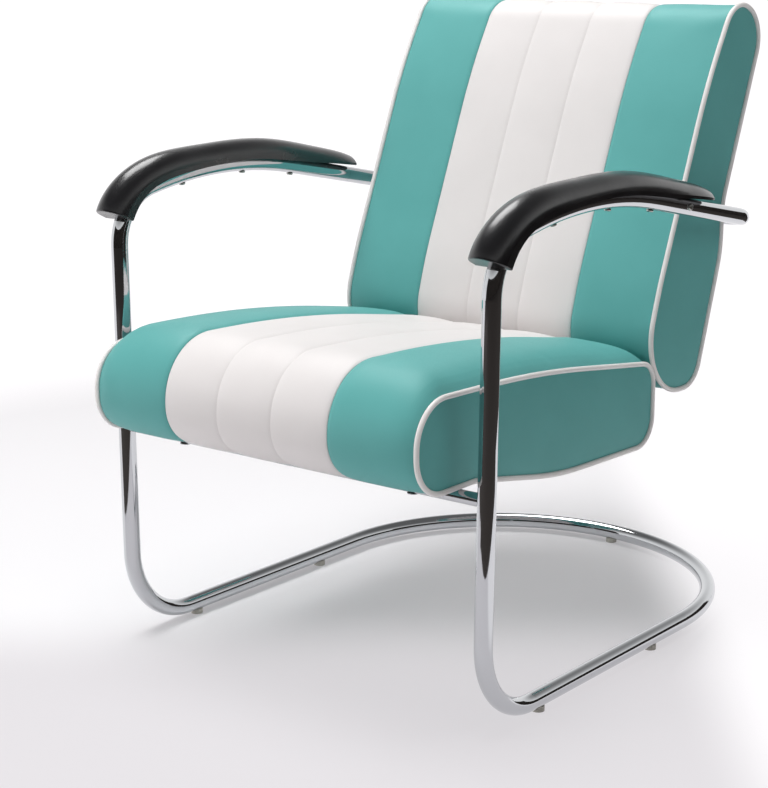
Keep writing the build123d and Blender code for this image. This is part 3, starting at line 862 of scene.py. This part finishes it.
def swept_cord(name: str, line: Mesh, radius: float, material: Material) -> Mesh:
    """Sweep a round cord along a line of edges with Geometry Nodes.

    Args:
        name: the new mesh's name.
        line: mesh of edges that the cord follows.
        radius: the cord's radius.
        material: its material.
    Returns:
        A plain mesh of the cord.
    """
    tree, inputs = start_tree("swept_cord", {"Radius": "NodeSocketFloat", "Material": "NodeSocketMaterial"})
    given = add_node(tree, "NodeGroupInput").outputs
    curve = add_node(tree, "GeometryNodeMeshToCurve", inputs={"Mesh": given["Mesh"]})
    profile = add_node(
        tree,
        "GeometryNodeCurvePrimitiveCircle",
        inputs={"Resolution": CORD_SIDES, "Radius": given["Radius"]},
    )
    sweep = add_node(
        tree,
        "GeometryNodeCurveToMesh",
        inputs={"Curve": curve.outputs[0], "Profile Curve": profile.outputs[0]},
    )
    end_tree(tree, sweep.outputs[0], given["Material"])
    return run_tree(name, line, tree, {inputs["Radius"]: radius, inputs["Material"]: material})


def run_tree(name: str, base: Mesh, tree: NodeTree, values: dict) -> Mesh:
    """Run a Geometry Nodes tree on a mesh and keep the result as a plain mesh.

    Args:
        name: the new mesh's name.
        base: mesh that the tree starts from.
        tree: the tree.
        values: its inputs, by socket identifier.
    Returns:
        The resulting mesh.
    """
    holder = add_object(f"{name}_holder", base)
    modifier = holder.modifiers.new("Shape", "NODES")
    modifier.node_group = tree
    for identifier, value in values.items():
        modifier[identifier] = value
    graph = bpy.context.evaluated_depsgraph_get()
    mesh = bpy.data.meshes.new_from_object(holder.evaluated_get(graph), depsgraph=graph)
    mesh.name = name
    close_rings(mesh)
    bpy.data.objects.remove(holder)
    bpy.data.node_groups.remove(tree)
    return mesh


@dataclass
class CadPieces:
    """The pieces that keep their CAD shapes: tubes, glides, fittings in the cushions, and armrests."""

    tubes: tuple[str, ...] = ("left_side_tube", "right_side_tube", "base_hoop", "back_rail", "seat_rail")
    glides: tuple[str, ...] = ("floor_glides",)
    boards: tuple[str, ...] = ("seat_board", "back_board")
    fittings: tuple[str, ...] = (
        "base_spigots",
        "arm_spigots",
        "seat_tee_nuts",
        "back_tee_nuts",
        "back_bolts",
        "back_sleeves",
        "seat_back_brackets",
        "seat_bracket_screws",
        "back_bracket_screws",
    )
    armrests: tuple[str, ...] = ("left_armrest", "right_armrest")

    def build(self) -> None:
        """Dress each piece in its finish."""
        for names, finish in (
            (self.tubes, CHROME),
            (self.glides, NYLON),
            (self.boards, PLYWOOD),
            (self.fittings, ZINC),
            (self.armrests, LACQUER),
        ):
            for name in names:
                finish.dress(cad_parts[name])
                log.info("%s: CAD shape, %s", name, finish.name)


@dataclass
class SocketScrews:
    """Screws with domed socket heads, in the places of a CAD node's plain ones."""

    node: str
    finish: Finish
    head_height: float = 0.6
    head_segments: int = 24
    rim_height: float = 0.12
    socket_width: float = 0.42
    socket_depth: float = 0.5
    flat_share: float = 1.25
    sharp_angle: float = 35.0
    dome_steps: int = 6

    def screw(self, radius: float, shank: float, length: float) -> Mesh:
        """Turn one screw with a domed head, a six-sided socket and a plain shank.

        Args:
            radius: the head's radius.
            shank: the shank's radius.
            length: the shank's length.
        Returns:
            A mesh with the head's seat at the origin and the dome towards +Z.
        """
        height = self.head_height * radius
        rim = self.rim_height * radius
        flat = self.flat_share * self.socket_width * radius
        profile = [(shank, -length), (shank, 0.0), (radius, 0.0), (radius, rim)]
        for step in range(1, self.dome_steps + 1):
            turn = step / self.dome_steps * pi / 2
            profile.append((flat + (radius - flat) * cos(turn), rim + (height - rim) * sin(turn)))
        turns = [2 * pi * j / self.head_segments for j in range(self.head_segments)]
        rows = [[(r * cos(turn), r * sin(turn), z) for turn in turns] for r, z in profile]
        across = self.socket_width * radius
        socket = [across / cos((turn + pi / 6) % (pi / 3) - pi / 6) for turn in turns]
        for z in (height, height * (1 - self.socket_depth)):
            rows.append([(r * cos(turn), r * sin(turn), z) for r, turn in zip(socket, turns)])
        mesh = grid_mesh("socket_screw", np.array(rows), False)
        close_rings(mesh, slice(self.head_segments), slice(-self.head_segments, None))
        return mesh

    def places(self) -> list[tuple[Vector, Vector, float, float, float]]:
        """Find the screws of the CAD node.

        Returns:
            For each screw the middle of its head's seat, its direction out of the head, the head's radius,
            the shank's radius and the shank's length.
        """
        solid = bmesh.new()
        solid.from_mesh(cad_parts[self.node].data)
        bmesh.ops.remove_doubles(solid, verts=solid.verts, dist=MERGE)
        left = set(solid.verts)
        found = []
        while left:
            island, edge = [], [left.pop()]
            while edge:
                vert = edge.pop()
                island.append(vert.co[:])
                near = {e.other_vert(vert) for e in vert.link_edges} & left
                left -= near
                edge += near
            points = np.array(island)
            axis = np.linalg.svd(points - points.mean(axis=0))[2][0]
            along = points @ axis
            ends = [points[np.abs(along - end) < 0.05 * MM] for end in (along.min(), along.max())]
            spans = [np.ptp(end, axis=0).max() for end in ends]
            foot = ends[int(spans[0] > spans[1])]
            if spans[0] > spans[1]:
                axis, along = -axis, -along
            centre = (foot.min(axis=0) + foot.max(axis=0)) / 2
            radial = np.linalg.norm(np.cross(points - centre, axis), axis=1)
            length = along[radial > 0.9 * radial.max()].min() - along.min()
            shank = np.linalg.norm(np.cross(foot - centre, axis), axis=1).max()
            found.append((Vector(centre + axis * length), Vector(axis), radial.max(), shank, length))
        solid.free()
        return found

    def build(self) -> None:
        """Set the screws with Geometry Nodes."""
        name = f"{self.node}_domed"
        places = self.places()
        radius, shank, length = places[0][2:]
        template = bpy.data.objects.new(f"{name}_template", self.screw(radius, shank, length))
        points = bpy.data.meshes.new(f"{name}_points")
        points.from_pydata([place[0] for place in places], [], [])
        axes = points.attributes.new("axis", "FLOAT_VECTOR", "POINT")
        axes.data.foreach_set("vector", [v for place in places for v in place[1]])
        kinds = {"Screw": "NodeSocketObject", "Material": "NodeSocketMaterial"}
        tree, inputs = start_tree("set_screws", kinds)
        given = add_node(tree, "NodeGroupInput").outputs
        screw = add_node(tree, "GeometryNodeObjectInfo", inputs={"Object": given["Screw"]})
        axis = add_node(
            tree,
            "GeometryNodeInputNamedAttribute",
            settings={"data_type": "FLOAT_VECTOR"},
            inputs={"Name": "axis"},
        )
        turn = add_node(
            tree,
            "FunctionNodeAlignRotationToVector",
            settings={"axis": "Z"},
            inputs={"Vector": axis.outputs[0]},
        )
        spots = add_node(tree, "GeometryNodeMeshToPoints", inputs={"Mesh": given["Mesh"]})
        placed = add_node(
            tree,
            "GeometryNodeInstanceOnPoints",
            inputs={
                "Points": spots.outputs[0],
                "Instance": screw.outputs["Geometry"],
                "Rotation": turn.outputs[0],
            },
        )
        end_tree(tree, placed.outputs[0], given["Material"])
        values = {inputs["Screw"]: template, inputs["Material"]: self.finish.material()}
        mesh = run_tree(name, points, tree, values)
        bpy.data.objects.remove(template)
        new_piece(name, mesh, self.finish, [self.node])
        mesh.set_sharp_from_angle(angle=radians(self.sharp_angle))


@dataclass(frozen=True)
class Softbox:
    """A square soft lamp aimed at the chair.

    A highlight shows in glossy surfaces alone, and the others light matt ones alone.
    """

    name: str
    place: tuple[float, float, float]
    size: float
    power: float
    is_highlight: bool = False

    def build(self, target: Vector) -> None:
        """Hang the lamp.

        Args:
            target: what it points at.
        """
        data = bpy.data.lights.new(self.name, "AREA")
        data.size = self.size
        data.energy = self.power
        lamp = add_object(self.name, data)
        lamp.location = self.place
        lamp.rotation_euler = (target - lamp.location).to_track_quat("-Z", "Y").to_euler()
        lamp.visible_diffuse = not self.is_highlight
        lamp.visible_glossy = self.is_highlight


@dataclass(frozen=True)
class DarkCard:
    """A dark card on the floor with its far end bent up, for glossy surfaces to mirror.

    It spans azimuths in degrees, begins at an inner radius, and its bent end has a height.
    """

    name: str
    first: float
    last: float
    inner: float
    height: float
    outer: float = 6.0
    lift: float = 0.002
    steps: int = 24
    colour: str = "#3A3431"
    roughness: float = 0.9

    def build(self) -> None:
        """Lay the card, which shows neither straight to the camera nor in shadows and matt colours."""
        material = bpy.data.materials.new(f"black_{self.name}")
        material.use_nodes = True
        look = {"Base Color": linear(self.colour), "Roughness": self.roughness}
        set_inputs(material.node_tree, material.node_tree.nodes["Principled BSDF"], look)
        points = []
        for i in range(self.steps + 1):
            turn = radians(self.first + (self.last - self.first) * i / self.steps)
            points += [(r * cos(turn), r * sin(turn), self.lift) for r in (self.inner, self.outer)]
            points.append((self.outer * cos(turn), self.outer * sin(turn), self.height))
        faces = []
        for a in range(0, 3 * self.steps, 3):
            faces += [(a, a + 1, a + 4, a + 3), (a + 1, a + 2, a + 5, a + 4)]
        card = stage_piece(self.name, points, faces, material)
        card.visible_camera = False
        card.visible_diffuse = False
        card.visible_shadow = False


def stage_piece(name: str, points: list, faces: list, material: Material) -> Object:
    """Put a piece of the studio into the scene.

    Args:
        name: its name.
        points: its corners.
        faces: corner numbers of its faces.
        material: its material.
    Returns:
        The piece.
    """
    mesh = bpy.data.meshes.new(name)
    mesh.from_pydata(points, [], faces)
    mesh.materials.append(material)
    piece = add_object(name, mesh)
    return piece


@dataclass
class Studio:
    """A pale floor that fades to white, soft lamps, dark cards for the chrome, and the photo's camera.

    The floor's zones beside and behind the chair are measured across and along the camera's view.
    """

    camera_place: tuple[float, float, float] = (1.506, -2.07925, 0.928)
    camera_yaw: float = 38.01
    camera_pitch: float = 13.56
    focal_px: float = 1983.0
    sensor_mm: float = 36.0
    floor_half: float = 40.0
    floor_roughness: float = 0.75
    floor_gloss: float = 0.2
    near_colour: str = "#D9D6D9"
    far_colour: str = "#F4F2F4"
    near_side: tuple[float, float] = (0.24, 0.4)
    near_depth: tuple[float, float] = (-0.27, 0.08)
    glow_radius: tuple[float, float] = (1.1, 1.9)
    near_glow: float = 0.75
    far_glow: float = 0.2
    side_glow: float = 0.85
    glow_strength: float = 1.2
    wall_ends: tuple[float, float] = (0.2, 0.75)
    ceiling: float = 0.15
    fill: float = 0.2
    target: tuple[float, float, float] = (0.0, 0.0, 0.4)
    cards: tuple[DarkCard, ...] = (
        DarkCard("front_card", -130.0, 25.0, 1.0, 2.6),
        DarkCard("side_card", 25.0, 80.0, 1.25, 1.8),
    )
    softboxes: tuple[Softbox, ...] = (
        Softbox("highlight_softbox", (-1.4, 0.7, 3.6), 1.8, 75.0, is_highlight=True),
        Softbox("overhead_softbox", (-0.65, -0.6, 4.2), 2.4, 158.0),
        Softbox("front_softbox", (-0.9, -2.4, 0.7), 1.6, 18.0),
        Softbox("side_softbox", (2.6, 1.2, 2.0), 1.6, 11.0),
    )

    def camera(self) -> None:
        """Set the camera up."""
        data = bpy.data.cameras.new("photo_camera")
        data.sensor_width = self.sensor_mm
        data.lens = self.focal_px / PHOTO_HEIGHT * self.sensor_mm
        camera = add_object("photo_camera", data)
        camera.location = self.camera_place
        camera.rotation_euler = (radians(90 - self.camera_pitch), 0.0, radians(self.camera_yaw))
        bpy.context.scene.camera = camera

    def shown(self, tree: NodeTree) -> NodeSocket:
        """Give 1 for rays that show the background, straight or in metal and glass, and 0 for the others.

        Args:
            tree: node tree of the floor or the world.
        Returns:
            The socket with that value.
        """
        path = add_node(tree, "ShaderNodeLightPath").outputs
        larger = {"operation": "MAXIMUM"}
        value = path["Is Camera Ray"]
        for kind in ("Is Glossy Ray", "Is Transmission Ray"):
            both = {0: value, 1: path[kind]}
            value = add_node(tree, "ShaderNodeMath", settings=larger, inputs=both).outputs[0]
        return value

    def zones(self, tree: NodeTree) -> list[NodeSocket]:
        """Divide the floor into soft zones.

        Args:
            tree: the floor's node tree.
        Returns:
            How far a point lies in the zones beside the chair, behind it and all round.
        """
        place = add_node(tree, "ShaderNodeTexCoord").outputs["Object"]
        turn = (0.0, 0.0, radians(-self.camera_yaw))
        turned = add_node(tree, "ShaderNodeMapping", inputs={"Vector": place, "Rotation": turn})
        axes = add_node(tree, "ShaderNodeSeparateXYZ", inputs={0: turned.outputs[0]}).outputs
        length = {"operation": "LENGTH"}
        radius = add_node(tree, "ShaderNodeVectorMath", settings=length, inputs={0: place}).outputs["Value"]
        found = []
        measures = ((axes["X"], self.near_side), (axes["Y"], self.near_depth), (radius, self.glow_radius))
        for value, (low, high) in measures:
            edge = add_node(
                tree,
                "ShaderNodeMapRange",
                settings={"interpolation_type": "SMOOTHERSTEP"},
                inputs={"Value": value, "From Min": low, "From Max": high},
            )
            found.append(edge.outputs["Result"])
        return found

    def floor(self) -> None:
        """Lay a painted floor: pale grey before the chair and white round it, partly lit from within."""
        material = bpy.data.materials.new("painted_studio_floor")
        material.use_nodes = True
        tree = material.node_tree
        shader = tree.nodes["Principled BSDF"]
        beside, behind, away = self.zones(tree)
        larger = {"operation": "MAXIMUM"}
        white = beside
        for zone in (behind, away):
            white = add_node(tree, "ShaderNodeMath", settings=larger, inputs={0: white, 1: zone}).outputs[0]
        tone = add_node(
            tree,
            "ShaderNodeMix",
            settings={"data_type": "RGBA"},
            inputs={"Factor": white, 6: linear(self.near_colour), 7: linear(self.far_colour)},
        ).outputs[2]
        paint = {"Roughness": self.floor_roughness, "Specular IOR Level": self.floor_gloss}
        set_inputs(tree, shader, {"Base Color": tone, **paint})
        # Painted light: the floor glows for the camera and in reflections. The glow weakens the chair's
        # cast shadow strongly before and beside the chair, only a little under and behind it, and hides it
        # fully far from it.
        number = {"data_type": "FLOAT"}
        share = self.near_glow
        for zone, zone_glow in ((behind, self.far_glow), (beside, self.side_glow)):
            ends = {0: zone, 2: share, 3: zone_glow}
            share = add_node(tree, "ShaderNodeMix", settings=number, inputs=ends).outputs[0]
        full = add_node(tree, "ShaderNodeMath", settings=larger, inputs={0: away, 1: share})
        glowing = add_node(
            tree,
            "ShaderNodeMath",
            settings={"operation": "MULTIPLY"},
            inputs={0: full.outputs[0], 1: self.shown(tree)},
        )
        glow = add_node(tree, "ShaderNodeEmission", inputs={"Color": tone, "Strength": self.glow_strength})
        mix = add_node(
            tree,
            "ShaderNodeMixShader",
            inputs={0: glowing.outputs[0], 1: shader.outputs[0], 2: glow.outputs[0]},
        )
        set_inputs(tree, tree.nodes["Material Output"], {"Surface": mix.outputs[0]})
        half = self.floor_half
        corners = [(-half, -half, 0), (half, -half, 0), (half, half, 0), (-half, half, 0)]
        stage_piece("studio_floor", corners, [(0, 1, 2, 3)], material)

    def world(self) -> None:
        """Surround the scene with white walls under a greyer ceiling, which light it only a little."""
        world = bpy.data.worlds.new("studio_world")
        world.use_nodes = True
        tree = world.node_tree
        direction = add_node(tree, "ShaderNodeTexCoord").outputs["Generated"]
        height = add_node(tree, "ShaderNodeSeparateXYZ", inputs={0: direction}).outputs["Z"]
        low, high = self.wall_ends
        level = add_node(
            tree,
            "ShaderNodeMapRange",
            settings={"interpolation_type": "SMOOTHSTEP"},
            inputs={
                "Value": height,
                "From Min": low,
                "From Max": high,
                "To Min": 1.0,
                "To Max": self.ceiling,
            },
        )
        strength = add_node(
            tree,
            "ShaderNodeMix",
            settings={"data_type": "FLOAT"},
            inputs={0: self.shown(tree), 2: self.fill, 3: level.outputs["Result"]},
        )
        white = (1.0, 1.0, 1.0, 1.0)
        set_inputs(tree, tree.nodes["Background"], {"Color": white, "Strength": strength.outputs[0]})
        bpy.context.scene.world = world

    def build(self) -> None:
        """Set the whole studio up."""
        bpy.context.scene.view_settings.view_transform = "Standard"
        self.camera()
        self.floor()
        for card in self.cards:
            card.build()
        self.world()
        for softbox in self.softboxes:
            softbox.build(Vector(self.target))


def main() -> None:
    """Build the chair and the studio."""
    logging.basicConfig(level=logging.INFO, format="%(name)s: %(message)s")
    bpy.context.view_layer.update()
    CadPieces().build()
    for node in ("left_armrest_screws", "right_armrest_screws", "arm_spigot_screws"):
        SocketScrews(node, NICKEL).build()
    SocketScrews("seat_bolts", ZINC, head_height=0.25).build()
    Cushion("seat", rest_direction=(0.0, 0.0, -1.0)).build()
    Cushion("back", rest_direction=(0.0, 1.0, 0.0)).build()
    Studio().build()


if __name__ == "__main__":
    main()
